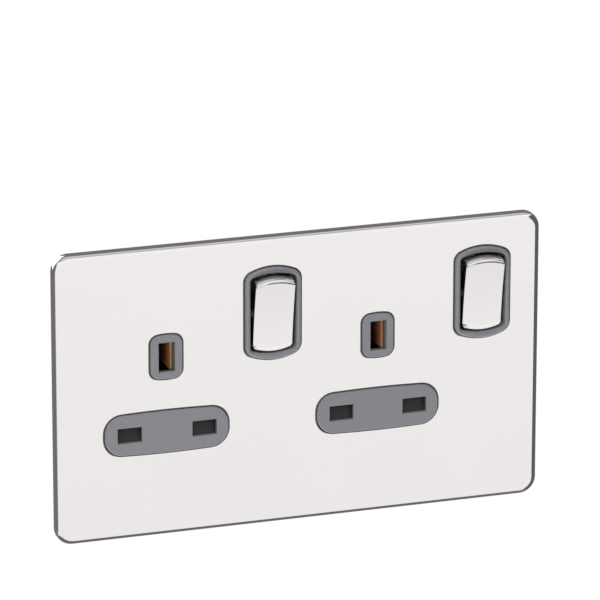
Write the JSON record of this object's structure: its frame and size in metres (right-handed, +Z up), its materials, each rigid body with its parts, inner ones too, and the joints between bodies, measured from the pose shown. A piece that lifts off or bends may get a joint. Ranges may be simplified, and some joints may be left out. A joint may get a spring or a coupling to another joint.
{
  "type": "switched socket outlet",
  "caption": "Wall socket outlet with rocker switches, a screwless polished steel front plate, grey inserts round shuttered flat-pin slots, and a moulded back for a flush wall box.",
  "frame": {"origin": "midway between the two fixing holes, in the plane of the wall", "axes": "+Z up the wall, -Y out into the room, +X to the right as seen from the room"},
  "size_m": [0.146, 0.0298, 0.086],
  "materials": {
    "polished_steel": "polished",
    "grey_plastic": "satin",
    "housing_plastic": "satin",
    "dark_plastic": "satin",
    "pale_plastic": "satin",
    "copper_alloy": "satin",
    "brass": "satin",
    "plated_steel": "satin",
    "spring_steel": "satin"
  },
  "bodies": {
    "socket": {"front_moulding": "grey_plastic", "rear_housing": "housing_plastic", "plate_clips": "spring_steel", "assembly_screws": "plated_steel", "line_feed": "copper_alloy", "neutral_bar": "copper_alloy", "earth_strap": "copper_alloy", "terminal_screws": "plated_steel", "line_terminal": "brass", "neutral_terminal": "brass", "earth_terminal_left": "brass", "earth_terminal_right": "brass", "line_contact_left": "copper_alloy", "shutter_keeper_left": "dark_plastic", "shutter_spring_left": "spring_steel", "line_contact_right": "copper_alloy", "shutter_keeper_right": "dark_plastic", "shutter_spring_right": "spring_steel"},
    "plate": {"front_plate": "polished_steel"},
    "rocker_left": {"rocker_left": "dark_plastic", "rocker_cap_left": "polished_steel", "plunger_spring_left": "spring_steel"},
    "plunger_left": {"plunger_left": "pale_plastic"},
    "see_saw_left": {"moving_contact_left": "copper_alloy"},
    "shutter_left": {"shutter_left": "dark_plastic"},
    "rocker_right": {"rocker_right": "dark_plastic", "rocker_cap_right": "polished_steel", "plunger_spring_right": "spring_steel"},
    "plunger_right": {"plunger_right": "pale_plastic"},
    "see_saw_right": {"moving_contact_right": "copper_alloy"},
    "shutter_right": {"shutter_right": "dark_plastic"}
  },
  "joints": [
    {"name": "plate_pull", "type": "slide", "parent": "socket", "child": "plate", "axis": [0, -1, 0], "range_m": [0, 0.025]},
    {"name": "rocker_left_tip", "type": "hinge", "parent": "socket", "child": "rocker_left", "pos_m": [-0.00825, -0.00375, 0.0204], "axis": [1, 0, 0], "range_deg": [-18, 0]},
    {"name": "plunger_left_press", "type": "slide", "parent": "rocker_left", "child": "plunger_left", "axis": [0, -0.9877, -0.1564], "range_m": [0, 0.0008], "stiffness_N_per_m": 600, "deforming": ["plunger_spring_left"]},
    {"name": "see_saw_left_rock", "type": "hinge", "parent": "socket", "child": "see_saw_left", "pos_m": [-0.00825, 0.0088, 0.0204], "axis": [1, 0, 0], "range_deg": [0, 18]},
    {"name": "shutter_left_slide", "type": "slide", "parent": "socket", "child": "shutter_left", "axis": [0, 0, -1], "range_m": [0, 0.0053], "stiffness_N_per_m": 60, "springref_m": -0.0003, "deforming": ["shutter_spring_left"]},
    {"name": "rocker_right_tip", "type": "hinge", "parent": "socket", "child": "rocker_right", "pos_m": [0.05525, -0.00375, 0.0204], "axis": [1, 0, 0], "range_deg": [-18, 0]},
    {"name": "plunger_right_press", "type": "slide", "parent": "rocker_right", "child": "plunger_right", "axis": [0, -0.9877, -0.1564], "range_m": [0, 0.0008], "stiffness_N_per_m": 600, "deforming": ["plunger_spring_right"]},
    {"name": "see_saw_right_rock", "type": "hinge", "parent": "socket", "child": "see_saw_right", "pos_m": [0.05525, 0.0088, 0.0204], "axis": [1, 0, 0], "range_deg": [0, 18]},
    {"name": "shutter_right_slide", "type": "slide", "parent": "socket", "child": "shutter_right", "axis": [0, 0, -1], "range_m": [0, 0.0053], "stiffness_N_per_m": 60, "springref_m": -0.0003, "deforming": ["shutter_spring_right"]}
  ],
  "couplings": [
    {"joint": "see_saw_left_rock", "follows": "rocker_left_tip", "ratio": -1},
    {"joint": "see_saw_right_rock", "follows": "rocker_right_tip", "ratio": -1}
  ]
}
